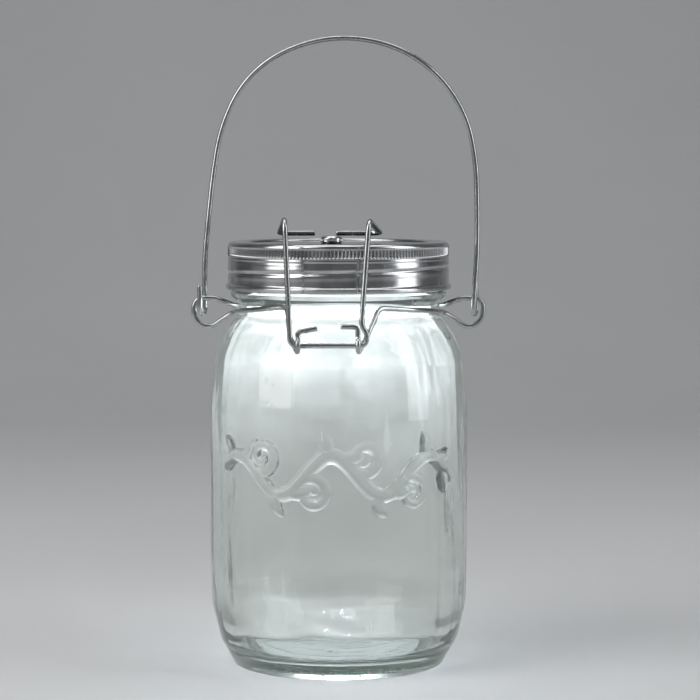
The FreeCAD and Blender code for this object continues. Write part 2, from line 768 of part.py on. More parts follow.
base_screws = doc.addObject("Part::Compound", "base_screw_set")
base_screws.Links = [
    screw("base_screw_%d" % i, b * sx, b * sy, D["puckbottom"], 2.3, 0.85, 1.1, 8.0)
    for i, (sx, sy) in enumerate(((1, 1), (-1, 1), (-1, -1), (1, -1)))
]
node(base_screws, "base_screws")
board_screws = doc.addObject("Part::Compound", "board_screw_set")
board_screws.Links = [
    screw("board_screw_set_%d" % i, size(0), D["boardboss"] * sy, D["boardheight"] - 0.87, 2.0, 0.85, 1.0, 7.5)
    for i, sy in enumerate((1, -1))
]
node(board_screws, "board_screws")

# leads from the cells to the board
lead_parts = []
for i, y in enumerate((11.5, 8.5)):
    pts = [(-22.0, y, 165.4), (-22.0, y, 158.6), (-20.0, y + 0.4 - 0.8 * i, 154.4), (-20.0, y + 0.4 - 0.8 * i, float(board_top) + 0.02)]
    lead_parts.append(bent_wire("lead_%d" % i, pts, [None, 3.0, 3.0, None], 0.6))
leads = doc.addObject("Part::Compound", "lead_pair")
leads.Links = lead_parts
node(leads, "solar_leads")

# switch magnet on the window
mr, mt = D["magnetradius"], D["magnettop"]
magnet = turned(
    "switch_magnet",
    [
        (0, cov_top + 0.02),
        (mr, cov_top + 0.02, 0.3),
        (mr, mt, 1.0),
        (0, mt),
    ],
)
magnet.Placement = FreeCAD.Placement(V(-float(D["magnetoffset"]), 0, 0), FreeCAD.Rotation())
bind(magnet, "Placement.Base.x", -D["magnetoffset"])
node(magnet, "switch_magnet")

# ---------------------------------------------------------------------------------------------------------------
# Check and write
# ---------------------------------------------------------------------------------------------------------------
doc.recompute()
bad = [o.Name for o in doc.Objects if "Invalid" in o.State or "Error" in o.State]
if bad:
    raise RuntimeError("failed objects: %s" % bad)
os.makedirs("parts", exist_ok=True)
for name, obj in nodes.items():
    s = obj.Shape
    if s.isNull() or not s.isValid() or not s.Solids:
        raise RuntimeError("%s has no valid solid" % name)
for name, obj in nodes.items():
    s = obj.Shape
    bb_ = s.BoundBox
    print("%-22s solids %d volume %9.1f  x %.2f..%.2f y %.2f..%.2f z %.2f..%.2f" % (name, len(s.Solids), s.Volume, bb_.XMin, bb_.XMax, bb_.YMin, bb_.YMax, bb_.ZMin, bb_.ZMax))
    s.exportStep("parts/%s.step" % name)
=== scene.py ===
import bpy
import math
import numpy as np
from mathutils import Matrix, Vector


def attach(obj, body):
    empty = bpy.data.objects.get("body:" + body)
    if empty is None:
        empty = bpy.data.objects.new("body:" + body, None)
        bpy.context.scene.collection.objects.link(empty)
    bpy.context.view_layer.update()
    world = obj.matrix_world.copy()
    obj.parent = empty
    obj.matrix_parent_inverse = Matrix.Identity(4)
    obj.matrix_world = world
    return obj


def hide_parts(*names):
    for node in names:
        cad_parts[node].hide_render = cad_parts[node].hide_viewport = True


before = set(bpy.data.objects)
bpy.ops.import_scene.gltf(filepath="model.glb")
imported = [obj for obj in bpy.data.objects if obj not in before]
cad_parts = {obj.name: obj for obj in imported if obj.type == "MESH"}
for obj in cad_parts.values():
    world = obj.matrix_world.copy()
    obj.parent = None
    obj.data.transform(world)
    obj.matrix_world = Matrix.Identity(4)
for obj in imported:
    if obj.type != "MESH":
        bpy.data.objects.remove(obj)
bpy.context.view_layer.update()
MM = 0.001


# ---------------------------------------------------------------------------------------------------------------
# Materials
# ---------------------------------------------------------------------------------------------------------------
class Mat:
    """A Principled material with a few helpers for its node tree."""

    def __init__(self, name, **sockets):
        self.m = bpy.data.materials.new(name)
        self.m.use_nodes = True
        self.nt = self.m.node_tree
        self.b = self.nt.nodes["Principled BSDF"]
        for k, v in sockets.items():
            self.b.inputs[k.replace("_", " ")].default_value = v

    def node(self, kind, **props):
        n = self.nt.nodes.new(kind)
        for k, v in props.items():
            if k.startswith("in_"):
                key = k[3:]
                n.inputs[int(key) if key.isdigit() else key.replace("_", " ")].default_value = v
            else:
                setattr(n, k, v)
        return n

    def link(self, a, b):
        self.nt.links.new(a, b)

    def coords(self, scale=(1, 1, 1), uv=False, turn=(0, 0, 0)):
        t = self.node("ShaderNodeTexCoord")
        mp = self.node("ShaderNodeMapping")
        mp.inputs["Scale"].default_value = scale
        mp.inputs["Rotation"].default_value = turn
        self.link(t.outputs["UV" if uv else "Object"], mp.inputs["Vector"])
        return mp.outputs["Vector"]

    def noise(self, vec, scale, detail=4.0, rough=0.55, distort=0.0):
        n = self.node("ShaderNodeTexNoise")
        n.inputs["Scale"].default_value = scale
        n.inputs["Detail"].default_value = detail
        n.inputs["Roughness"].default_value = rough
        n.inputs["Distortion"].default_value = distort
        self.link(vec, n.inputs["Vector"])
        return n.outputs["Fac"]

    def voronoi(self, vec, scale, feature="F1", out="Distance"):
        n = self.node("ShaderNodeTexVoronoi")
        n.feature = feature
        n.inputs["Scale"].default_value = scale
        self.link(vec, n.inputs["Vector"])
        return n.outputs[out]

    def ramp(self, fac, stops, mode="LINEAR"):
        r = self.node("ShaderNodeValToRGB")
        r.color_ramp.interpolation = mode
        e = r.color_ramp.elements
        while len(e) < len(stops):
            e.new(0.5)
        for el, (p, c) in zip(e, stops):
            el.position = p
            el.color = c if len(c) == 4 else (*c, 1)
        self.link(fac, r.inputs["Fac"])
        return r.outputs["Color"]

    def span(self, fac, lo, hi, a=0.0, b=1.0):
        r = self.node("ShaderNodeMapRange")
        r.inputs["From Min"].default_value = a
        r.inputs["From Max"].default_value = b
        r.inputs["To Min"].default_value = lo
        r.inputs["To Max"].default_value = hi
        self.link(fac, r.inputs["Value"])
        return r.outputs["Result"]

    def math(self, op, a, b=None):
        n = self.node("ShaderNodeMath")
        n.operation = op
        for i, x in enumerate((a, b)):
            if x is None:
                continue
            if isinstance(x, (int, float)):
                n.inputs[i].default_value = x
            else:
                self.link(x, n.inputs[i])
        return n.outputs[0]

    def mix(self, fac, a, b, mode="MIX"):
        n = self.node("ShaderNodeMix")
        n.data_type = "RGBA"
        n.blend_type = mode
        ins = [s for s in n.inputs if s.type == "RGBA"]
        f = [s for s in n.inputs if s.name == "Factor" and s.type == "VALUE"][0]
        for s, x in ((f, fac), (ins[0], a), (ins[1], b)):
            if isinstance(x, (int, float)):
                s.default_value = x
            elif isinstance(x, tuple):
                s.default_value = x if len(x) == 4 else (*x, 1)
            else:
                self.link(x, s)
        return [o for o in n.outputs if o.type == "RGBA"][0]

    def bump(self, height, strength=0.3, distance=0.0002, below=None):
        n = self.node("ShaderNodeBump")
        n.inputs["Strength"].default_value = strength
        n.inputs["Distance"].default_value = distance
        self.link(height, n.inputs["Height"])
        if below is not None:
            self.link(below, n.inputs["Normal"])
        return n.outputs["Normal"]

    def set(self, **links):
        for k, v in links.items():
            self.link(v, self.b.inputs[k.replace("_", " ")])
        return self.m


def plastic(name, color, rough=0.45, grain=900.0, fleck=0.04, spec=0.5, bump=0.12):
    m = Mat(name, Metallic=0.0)
    v = m.coords()
    n1 = m.noise(v, grain * 0.1, 5)
    n2 = m.noise(v, grain, 3)
    dark = tuple(c * (1 - fleck * 2.5) for c in color)
    light = tuple(min(1, c * (1 + fleck * 1.5) + fleck * 0.1) for c in color)
    m.b.inputs["Specular IOR Level"].default_value = spec
    return m.set(
        Base_Color=m.ramp(n1, [(0.3, dark), (0.7, light)]),
        Roughness=m.span(n2, rough - 0.08, rough + 0.1, 0.3, 0.7),
        Normal=m.bump(n2, bump, 0.00005),
    )


def metal(name, color, lo, hi, grain=1500.0, stretch=(1, 1, 1), bump=0.06, tarnish=0.12, uv=False):
    m = Mat(name, Metallic=1.0)
    v = m.coords(stretch, uv=uv)
    broad = m.noise(m.coords(), 90, 5, 0.6)
    fine = m.noise(v, grain, 3, 0.6)
    dark = tuple(c * (1 - tarnish * 2) for c in color)
    return m.set(
        Base_Color=m.ramp(broad, [(0.32, dark), (0.6, color)]),
        Roughness=m.math("ADD", m.span(broad, 0.0, (hi - lo) * 0.5, 0.3, 0.7), m.span(fine, lo, lo + (hi - lo) * 0.5, 0.3, 0.7)),
        Normal=m.bump(fine, bump, 0.00004),
    )


def make_glass():
    """Pressed soda-lime glass: faint green-grey body colour, flow waves, a thin film that catches the lamps' light."""
    m = Mat("jar_glass", Metallic=0.0, Base_Color=(0.94, 0.965, 0.95, 1), IOR=1.5, Specular_IOR_Level=0.5)
    v = m.coords((1, 1, 0.45))
    wave = m.noise(v, 38, 3, 0.55, 0.4)
    mid = m.noise(m.coords((1, 1, 0.7)), 120, 3, 0.5)
    fine = m.noise(v, 420, 3, 0.6)
    smear = m.noise(m.coords(), 60, 4, 0.6)
    n = m.bump(wave, 0.22, 0.0022)
    n = m.bump(mid, 0.10, 0.0006, n)
    n = m.bump(fine, 0.03, 0.0002, n)
    # the film is denser towards the shoulder
    t = m.node("ShaderNodeTexCoord")
    sep = m.node("ShaderNodeSeparateXYZ")
    m.link(t.outputs["Object"], sep.inputs[0])
    high = m.span(sep.outputs[2], 0.002, 0.060, 0.055, 0.140)
    cloud = m.noise(m.coords((1, 1, 0.7)), 30, 4, 0.6, 1.2)
    film = m.math("MULTIPLY", high, m.span(smear, 0.7, 1.3, 0.3, 0.7))
    film = m.math("MULTIPLY", film, m.span(cloud, 0.45, 1.55, 0.3, 0.7))
    m.set(Transmission_Weight=m.math("SUBTRACT", 0.985, film), Roughness=m.span(smear, 0.004, 0.05, 0.45, 0.75), Normal=n)
    out = [x for x in m.nt.nodes if x.type == "OUTPUT_MATERIAL"][0]
    ab = m.node("ShaderNodeVolumeAbsorption")
    ab.inputs["Color"].default_value = (0.45, 0.55, 0.495, 1)
    ab.inputs["Density"].default_value = 30.0
    m.link(ab.outputs[0], out.inputs["Volume"])
    return m.m


def make_wire(name, tone=1.0):
    """Drawn, zinc plated steel: lengthwise draw lines, soft spangle and a few dull patches. UV x runs along the wire."""
    m = Mat(name, Metallic=1.0)
    draw = m.noise(m.coords((14.0, 5200.0, 1.0), uv=True), 1.0, 3, 0.6)
    dull = m.noise(m.coords(), 150, 4, 0.6)
    speck = m.noise(m.coords(), 1100, 2, 0.5)
    base = m.ramp(dull, [(0.30, (0.36 * tone, 0.375 * tone, 0.37 * tone)), (0.55, (0.50 * tone, 0.515 * tone, 0.51 * tone)), (0.75, (0.58 * tone, 0.59 * tone, 0.585 * tone))])
    rough = m.math("ADD", m.span(dull, 0.22, 0.14, 0.3, 0.7), m.span(draw, 0.0, 0.07, 0.3, 0.7))
    rough = m.math("ADD", rough, m.span(speck, 0.0, 0.06, 0.5, 0.7))
    n = m.bump(draw, 0.20, 0.00004)
    n = m.bump(dull, 0.05, 0.00006, n)
    return m.set(Base_Color=base, Roughness=rough, Normal=n)


def make_band():
    """Tinned sheet steel: rolling marks round the band, faint spangle, a few scratches and random patches of lighter
    and darker tone.
    """
    m = Mat("band_steel", Metallic=1.0)
    roll = m.noise(m.coords((24.0, 1500.0, 1.0), uv=True), 1.0, 4, 0.65)
    patch = m.noise(m.coords(), 130, 5, 0.6)
    spangle = m.noise(m.coords(), 520, 2, 0.5)
    scratch = m.noise(m.coords((400.0, 60.0, 1.0), uv=True), 1.0, 2, 0.5, 1.5)
    base = m.ramp(patch, [(0.3, (0.46, 0.465, 0.475)), (0.55, (0.60, 0.60, 0.61)), (0.8, (0.66, 0.66, 0.66))])
    rough = m.math("ADD", m.span(patch, 0.15, 0.21, 0.3, 0.7), m.span(roll, -0.02, 0.05, 0.3, 0.7))
    rough = m.math("ADD", rough, m.span(scratch, 0.0, 0.10, 0.62, 0.75))
    n = m.bump(roll, 0.05, 0.00003)
    n = m.bump(spangle, 0.05, 0.00005, n)
    return m.set(Base_Color=base, Roughness=rough, Normal=n)


def make_cell():
    """Poly-crystalline silicon: blue-black grains under a thin nitride coat."""
    m = Mat("solar_cell", Metallic=0.0, Specular_IOR_Level=0.6)
    m.b.inputs["Coat Weight"].default_value = 0.15
    m.b.inputs["Coat Roughness"].default_value = 0.3
    grains = m.voronoi(m.coords((1, 0.55, 1)), 260, out="Color")
    sp = m.node("ShaderNodeSeparateColor")
    m.link(grains, sp.inputs[0])
    n = m.noise(m.coords(), 700, 3)
    base = m.ramp(sp.outputs[0], [(0.0, (0.006, 0.009, 0.020)), (0.5, (0.010, 0.016, 0.040)), (1.0, (0.022, 0.034, 0.075))])
    return m.set(Base_Color=base, Roughness=m.span(sp.outputs[1], 0.22, 0.5), Normal=m.bump(n, 0.06, 0.00004))


def make_window():
    m = Mat("clear_window", Metallic=0.0, Base_Color=(0.55, 0.58, 0.62, 1), Transmission_Weight=1.0, IOR=1.2, Specular_IOR_Level=0.2)
    s = m.noise(m.coords(), 180, 5, 0.65)
    f = m.noise(m.coords((1, 12, 1), turn=(0, 0, 0.5)), 400, 2, 0.6)
    return m.set(Roughness=m.span(s, 0.05, 0.12, 0.35, 0.75), Normal=m.bump(f, 0.02, 0.00004))


def make_board():
    m = Mat("board", Metallic=0.0)
    v = m.coords((1, 1, 0.001))
    tracks = m.voronoi(v, 330, "DISTANCE_TO_EDGE")
    n = m.noise(v, 1200, 3)
    base = m.ramp(tracks, [(0.0, (0.02, 0.16, 0.06)), (0.06, (0.015, 0.10, 0.04)), (0.12, (0.02, 0.13, 0.05))])
    return m.set(Base_Color=base, Roughness=m.span(n, 0.25, 0.4), Normal=m.bump(tracks, 0.2, 0.00005))


def make_sleeve():
    m = Mat("battery_sleeve", Metallic=0.0)
    n = m.noise(m.coords((0.4, 1, 1)), 500, 4)
    w = m.node("ShaderNodeTexWave", wave_type="BANDS", bands_direction="X")
    w.inputs["Scale"].default_value = 30.0
    w.inputs["Distortion"].default_value = 0.0
    m.link(m.coords(), w.inputs["Vector"])
    base = m.ramp(w.outputs["Fac"], [(0.0, (0.03, 0.20, 0.07)), (0.85, (0.03, 0.22, 0.08)), (0.93, (0.65, 0.68, 0.62))])
    return m.set(Base_Color=base, Roughness=m.span(n, 0.22, 0.42), Normal=m.bump(n, 0.12, 0.00005))


def make_lens():
    m = Mat("lamp_lens", Metallic=0.0, Base_Color=(0.95, 0.97, 1.0, 1), Transmission_Weight=0.85, IOR=1.5)
    m.b.inputs["Emission Color"].default_value = (0.86, 0.93, 1.0, 1)
    m.b.inputs["Emission Strength"].default_value = 26.0
    n = m.noise(m.coords(), 500, 3)
    return m.set(Roughness=m.span(n, 0.02, 0.14), Normal=m.bump(n, 0.05, 0.00005))


def make_die():
    m = Mat("lamp_die", Metallic=0.0, Base_Color=(0.95, 0.95, 0.85, 1), Roughness=0.5)
    m.b.inputs["Emission Color"].default_value = (0.88, 0.94, 1.0, 1)
    n = m.noise(m.coords(), 900, 3)
    return m.set(Emission_Strength=m.span(n, 900.0, 1200.0), Base_Color=m.ramp(n, [(0.3, (0.9, 0.88, 0.6)), (0.7, (1, 1, 0.9))]))


def make_chrome():
    m = Mat("magnet_chrome", Metallic=1.0)
    v = m.coords()
    haze = m.noise(v, 260, 5, 0.6)
    scr = m.noise(m.coords((1, 30, 1), turn=(0, 0, 0.8)), 300, 2, 0.6)
    return m.set(
        Base_Color=m.ramp(haze, [(0.3, (0.60, 0.60, 0.61)), (0.65, (0.86, 0.86, 0.87))]),
        Roughness=m.math("ADD", m.span(haze, 0.05, 0.16, 0.3, 0.7), m.span(scr, 0.0, 0.08, 0.5, 0.8)),
        Normal=m.bump(scr, 0.05, 0.00003),
    )


M = {
    "glass": make_glass(),
    "wire_neck": make_wire("neck_wire_steel", 0.98),
    "wire_clip": make_wire("clip_wire_steel", 1.0),
    "wire_bail": make_wire("bail_wire_steel", 1.05),
    "band": make_band(),
    "cell": make_cell(),
    "window": make_window(),
    "board": make_board(),
    "sleeve": make_sleeve(),
    "lens": make_lens(),
    "die": make_die(),
    "chrome": make_chrome(),
    # painted shade: the lamp housing under the lid is coloured near-black to stand in for the shade there, not its
    # plastic's own tone
    "housing": plastic("housing_plastic", (0.035, 0.036, 0.038), 0.42),
    "base": plastic("base_plastic", (0.60, 0.61, 0.62), 0.38),
    "plate": plastic("dark_plastic", (0.012, 0.012, 0.014), 0.5),
    "seal": plastic("seal_rubber", (0.62, 0.62, 0.58), 0.7, 700),
    "chip": plastic("chip", (0.02, 0.02, 0.022), 0.5, 1500),
    "ferrite": plastic("ferrite", (0.05, 0.055, 0.05), 0.6, 1500),
    "lead": plastic("lead_insulation", (0.35, 0.02, 0.015), 0.45, 1500),
    "silver": metal("cell_grid_silver", (0.62, 0.63, 0.64), 0.28, 0.45, 2500),
    "screw": metal("screw_steel", (0.60, 0.60, 0.60), 0.2, 0.4, 1800),
    "contact": metal("contact", (0.70, 0.68, 0.60), 0.18, 0.35, 1800),
    "reed": Mat("reed_glass", Base_Color=(0.8, 0.9, 0.82, 1), Roughness=0.05, Transmission_Weight=0.9).m,
}
_r = M["reed"].node_tree
_n = _r.nodes.new("ShaderNodeTexNoise")
_n.inputs["Scale"].default_value = 900
_b = _r.nodes.new("ShaderNodeBump")
_b.inputs["Strength"].default_value = 0.1
_b.inputs["Distance"].default_value = 0.00005
_r.links.new(_n.outputs["Fac"], _b.inputs["Height"])
_r.links.new(_b.outputs["Normal"], _r.nodes["Principled BSDF"].inputs["Normal"])


# ---------------------------------------------------------------------------------------------------------------
# Mesh helpers (all lengths below in millimetres, converted once)
# ---------------------------------------------------------------------------------------------------------------
def mesh_object(name, verts, quads, mat, uvs=None, smooth=True, tris=None):
    me = bpy.data.meshes.new(name)
    faces = [tuple(q) for q in quads] + ([tuple(t) for t in tris] if tris is not None else [])
    me.from_pydata((np.asarray(verts, float) * MM).tolist(), [], faces)
    if uvs is not None:
        layer = me.uv_layers.new(name="UVMap")
        idx = np.empty(len(me.loops), dtype=np.int32)
        me.loops.foreach_get("vertex_index", idx)
        layer.data.foreach_set("uv", np.asarray(uvs, np.float32)[idx].ravel())
    me.polygons.foreach_set("use_smooth", [smooth] * len(me.polygons))
    me.materials.append(mat)
    me.update()
    ob = bpy.data.objects.new(name, me)
    bpy.context.scene.collection.objects.link(ob)
    return ob


def rounded(corners, step=1.2, turn=6.0):
    """Points along straight sides with rounded corners. corners: (r, z[, radius])."""
    n = len(corners)
    P = [np.array(c[:2], float) for c in corners]
    out = []
    for i in range(n):
        rad = corners[i][2] if len(corners[i]) > 2 else 0
        if not rad:
            out.append((P[i], i))
            continue
        a = P[i - 1] - P[i]
        b = P[(i + 1) % n] - P[i]
        la, lb = np.linalg.norm(a), np.linalg.norm(b)
        a, b = a / la, b / lb
        half = math.acos(max(-1, min(1, a @ b))) / 2
        reach = rad / math.tan(half)
        mid = (a + b) / np.linalg.norm(a + b)
        c = P[i] + mid * rad / math.sin(half)
        p0, p1 = P[i] + a * reach, P[i] + b * reach
        a0 = math.atan2(*(p0 - c)[::-1])
        a1 = math.atan2(*(p1 - c)[::-1])
        da = (a1 - a0 + math.pi) % (2 * math.pi) - math.pi
        k = max(2, int(math.ceil(abs(math.degrees(da)) / turn)), int(math.ceil(abs(da) * rad / step)))
        for j in range(k + 1):
            t = a0 + da * j / k
            out.append((c + rad * np.array([math.cos(t), math.sin(t)]), i))
    pts = []
    m = len(out)
    for j in range(m):
        p, i = out[j]
        q, i2 = out[(j + 1) % m]
        pts.append((p[0], p[1], i))
        L = np.linalg.norm(q - p)
        k = int(math.ceil(L / step))
        for s in range(1, k):
            t = s / k
            w = p + (q - p) * t
            pts.append((w[0], w[1], i if t < 0.5 else i2))
    return pts


def lathe(name, prof, n, mat, shape=None, ride=None, u_scale=1.0):
    """Revolves a closed profile of (r, z, tag). Points on the axis become one vertex. shape(theta, r, z, tag, dist)
    returns new r and z arrays."""
    prof = [p for k, p in enumerate(prof) if k == 0 or abs(p[0] - prof[k - 1][0]) + abs(p[1] - prof[k - 1][1]) > 1e-6]
    R = np.array([p[0] for p in prof])
    Z = np.array([p[1] for p in prof])
    T = np.array([p[2] for p in prof])
    dist = np.concatenate([[0], np.cumsum(np.hypot(np.diff(R), np.diff(Z)))])
    th = np.arange(n) * 2 * math.pi / n
    TH, RR = np.meshgrid(th, R)
    _, ZZ = np.meshgrid(th, Z)
    TG = np.repeat(T[:, None], n, 1)
    DD = np.repeat(dist[:, None], n, 1)
    if shape is not None:
        RR, ZZ = shape(TH, RR, ZZ, TG, DD)
    X, Y = RR * np.cos(TH), RR * np.sin(TH)
    rows = len(prof)
    verts = np.stack([X, Y, ZZ], -1).reshape(-1, 3)
    uvs = np.stack([TH / (2 * math.pi) * u_scale, DD * MM], -1).reshape(-1, 2)
    on_axis = [k for k in range(rows) if R[k] < 1e-6]
    index = np.arange(rows * n).reshape(rows, n)
    for k in on_axis:
        index[k, :] = index[k, 0]
        verts[index[k, 0]] = (0, 0, ZZ[k].mean())
    quads, tris = [], []
    nxt = np.roll(np.arange(n), -1)
    for k in range(rows):
        k2 = (k + 1) % rows
        if k in on_axis and k2 in on_axis:
            continue
        a, b, c, d = index[k], index[k][nxt], index[k2][nxt], index[k2]
        if k in on_axis:
            tris.append(np.stack([a, c, d], 1))
        elif k2 in on_axis:
            tris.append(np.stack([a, b, d], 1))
        else:
            quads.append(np.stack([a, b, c, d], 1))
    quads = np.concatenate(quads) if quads else np.zeros((0, 4), int)
    tris = np.concatenate(tris) if tris else np.zeros((0, 3), int)
    used = np.unique(np.concatenate([quads.ravel(), tris.ravel()]))
    remap = -np.ones(len(verts), int)
    remap[used] = np.arange(len(used))
    ob = mesh_object(name, verts[used], remap[quads].tolist(), mat, uvs[used], True, remap[tris].tolist())
    if ride:
        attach(ob, ride)
    return ob


def path_points(points, radii, step=0.6):
    """Straight runs with a tangent arc at each inner point, sampled closely."""
    P = [np.array(p, float) for p in points]
    n = len(P)
    L = [np.linalg.norm(P[i + 1] - P[i]) for i in range(n - 1)]
    segs = [(P[0], P[0], None)]
    for i in range(1, n - 1):
        a = (P[i - 1] - P[i]) / L[i - 1]
        b = (P[i + 1] - P[i]) / L[i]
        half = math.acos(max(-1.0, min(1.0, a @ b))) / 2
        if half > math.pi / 2 - 1e-4:
            segs.append((P[i], P[i], None))
            continue
        left = L[i - 1] * (0.5 if i > 1 else 0.97)
        right = L[i] * (0.5 if i < n - 2 else 0.97)
        room = min(left, right) * 0.999 * math.tan(half)
        r = room if radii[i] is None else min(radii[i], room)
        reach = r / math.tan(half)
        mid = (a + b) / np.linalg.norm(a + b)
        c = P[i] + mid * r / math.sin(half)
        segs.append((P[i] + a * reach, P[i] + b * reach, (c, r)))
    segs.append((P[-1], P[-1], None))
    out = [P[0]]
    for i in range(n - 1):
        s, e = segs[i][1], segs[i + 1][0]
        d = np.linalg.norm(e - s)
        k = max(1, int(round(d / (step * 2))))
        for j in range(1, k + 1):
            if d > 1e-6:
                out.append(s + (e - s) * j / k)
        arc = segs[i + 1][2]
        if arc is not None:
            c, r = arc
            u, v = segs[i + 1][0] - c, segs[i + 1][1] - c
            ang = math.acos(max(-1.0, min(1.0, (u @ v) / (r * r))))
            k = max(2, int(math.ceil(ang * r / step)), int(math.ceil(math.degrees(ang) / 8)))
            for j in range(1, k + 1):
                t = j / k
                w = (math.sin((1 - t) * ang) * u + math.sin(t * ang) * v) / math.sin(ang)
                out.append(c + w)
    keep = [out[0]]
    for p in out[1:]:
        if np.linalg.norm(p - keep[-1]) > 0.05:
            keep.append(p)
    return np.array(keep)


def tube(name, pts, radius, mat, ride, around=20, burr=0.18):
    """A drawn wire along pts with sheared, slightly rounded ends."""
    pts = np.asarray(pts, float)
    tan = np.gradient(pts, axis=0)
    tan /= np.linalg.norm(tan, axis=1)[:, None]
    ref = np.array([0.0, 0.0, 1.0]) if abs(tan[0][2]) < 0.9 else np.array([0.0, 1.0, 0.0])
    nrm = np.cross(tan[0], ref)
    nrm /= np.linalg.norm(nrm)
    N = [nrm]
    for i in range(1, len(pts)):
        v = N[-1] - tan[i] * (N[-1] @ tan[i])
        N.append(v / np.linalg.norm(v))
    N = np.array(N)
    B = np.cross(tan, N)
    dist = np.concatenate([[0], np.cumsum(np.linalg.norm(np.diff(pts, axis=0), axis=1))])
    ang = np.arange(around) * 2 * math.pi / around
    rings, us = [], []

    def ring(c, n, b, r, u):
        rings.append(c + r * (np.cos(ang)[:, None] * n + np.sin(ang)[:, None] * b))
        us.append(u)

    for k, f in ((0, 0.80), (0.35 * burr / 0.18 * 0.3, 0.93), (burr, 1.0)):
        ring(pts[0] + tan[0] * k, N[0], B[0], radius * f, dist[0] + k)
    for i in range(1, len(pts) - 1):
        if dist[i] <= burr * 1.2 or dist[i] >= dist[-1] - burr * 1.2:
            continue
        wob = 1.0 + 0.006 * math.sin(dist[i] * 0.9) + 0.005 * math.sin(dist[i] * 2.3 + 1.0)
        ring(pts[i], N[i], B[i], radius * wob, dist[i])
    for k, f in ((burr, 1.0), (0.35 * burr / 0.18 * 0.3, 0.93), (0, 0.80)):
        ring(pts[-1] - tan[-1] * k, N[-1], B[-1], radius * f, dist[-1] - k)
    rows = len(rings)
    verts = np.concatenate(rings)
    uvs = np.array([[u * MM, a / around * 2 * math.pi * radius * MM] for u in us for a in range(around)])
    idx = np.arange(rows * around).reshape(rows, around)
    nx = np.roll(np.arange(around), -1)
    quads = np.concatenate([np.stack([idx[k], idx[k + 1], idx[k + 1][nx], idx[k][nx]], 1) for k in range(rows - 1)])
    verts = np.concatenate([verts, [pts[0] + tan[0] * 0.02], [pts[-1] - tan[-1] * 0.02]])
    uvs = np.concatenate([uvs, [[0, 0]], [[dist[-1] * MM, 0]]])
    a, b = rows * around, rows * around + 1
    tris = np.concatenate([np.stack([np.full(around, a), idx[0], idx[0][nx]], 1), np.stack([np.full(around, b), idx[-1][nx], idx[-1]], 1)])
    ob = mesh_object(name, verts, quads.tolist(), mat, uvs, True, tris.tolist())
    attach(ob, ride)
    return ob


def waves(th, z, seed, count, m_lo, m_hi, k_lo, k_hi):
    """A smooth, repeatable wavy field over angle and height, about -1..1."""
    rng = np.random.RandomState(seed)
    f = np.zeros_like(th)
    tot = 0.0
    for _ in range(count):
        m = rng.randint(m_lo, m_hi + 1)
        k = rng.uniform(k_lo, k_hi) * rng.choice([-1, 1])
        a = rng.uniform(0.5, 1.0)
        f += a * np.sin(m * th + k * z + rng.uniform(0, 6.283))
        tot += a * a
    return f / math.sqrt(tot) / 1.2


def smooth(x, a, b):
    t = np.clip((x - a) / (b - a), 0, 1)
    return t * t * (3 - 2 * t)


# ---------------------------------------------------------------------------------------------------------------
# The jar: thick moulded glass with a vine in relief, a screw thread and a stippled base
# ---------------------------------------------------------------------------------------------------------------
BODY_R, RIM, GROOVE, BEAD, FINISH, CREST, MOUTH = 51.15, 166.6, 39.2, 43.0, 41.0, 42.6, 36.6
INNER = BODY_R - 3.2


def vine_strokes():
    """A generic climbing vine: one wavy stem with curled tendrils and leaves. Strokes are lists of (s, z, half width)."""
    strokes = []
    zc = 80.4
    stem = []
    for i in range(161):
        t = i / 160
        s = -50 + 100 * t
        z = zc + 7.9 * math.sin(2 * math.pi * (t * 2.5) + 0.4) * (0.75 + 0.25 * math.cos(math.pi * (t - 0.5)))
        stem.append((s, z, 2.40 + 0.30 * math.sin(math.pi * t)))
    strokes.append(stem)

    def curl(s0, z0, a0, size, hand, turns=1.25, w=2.2):
        pts, s, z, a = [], s0, z0, a0
        n = 60
        for i in range(n + 1):
            f = i / n
            pts.append((s, z, w * (1 - 0.35 * f)))
            da = turns * 2 * math.pi / n
            ds = size * (1.0 - 0.80 * f) * da
            a += hand * da
            s += math.cos(a) * ds
            z += math.sin(a) * ds
        return pts

    def leaf(s0, z0, a, length, width):
        pts = []
        for i in range(25):
            f = i / 24
            bend = a + 0.5 * (f - 0.5)
            w = width * math.sin(math.pi * min(1.0, f * 0.96 + 0.04)) ** 0.8
            pts.append((s0 + math.cos(bend) * length * f, z0 + math.sin(bend) * length * f, max(w, 0.25)))
        return pts

    for t, up in ((0.165, 1), (0.365, -1), (0.565, 1), (0.765, -1)):
        i = int(t * 160)
        s, z, _ = stem[i]
        slope = math.atan2(stem[i + 3][1] - stem[i - 3][1], stem[i + 3][0] - stem[i - 3][0])
        strokes.append(curl(s, z, slope + up * 0.30, 6.6, up))
    for t, turn in ((0.035, 1.3), (0.10, 0.9), (0.25, -1.0), (0.31, -0.5), (0.45, 1.0), (0.51, 0.5), (0.65, -1.0), (0.71, -0.5), (0.85, 1.0), (0.91, 0.5), (0.965, -0.9)):
        i = min(156, max(4, int(t * 160)))
        s, z, _ = stem[i]
        slope = math.atan2(stem[i + 3][1] - stem[i - 3][1], stem[i + 3][0] - stem[i - 3][0])
        strokes.append(leaf(s, z, slope + turn, 9.5, 2.5))
    return strokes


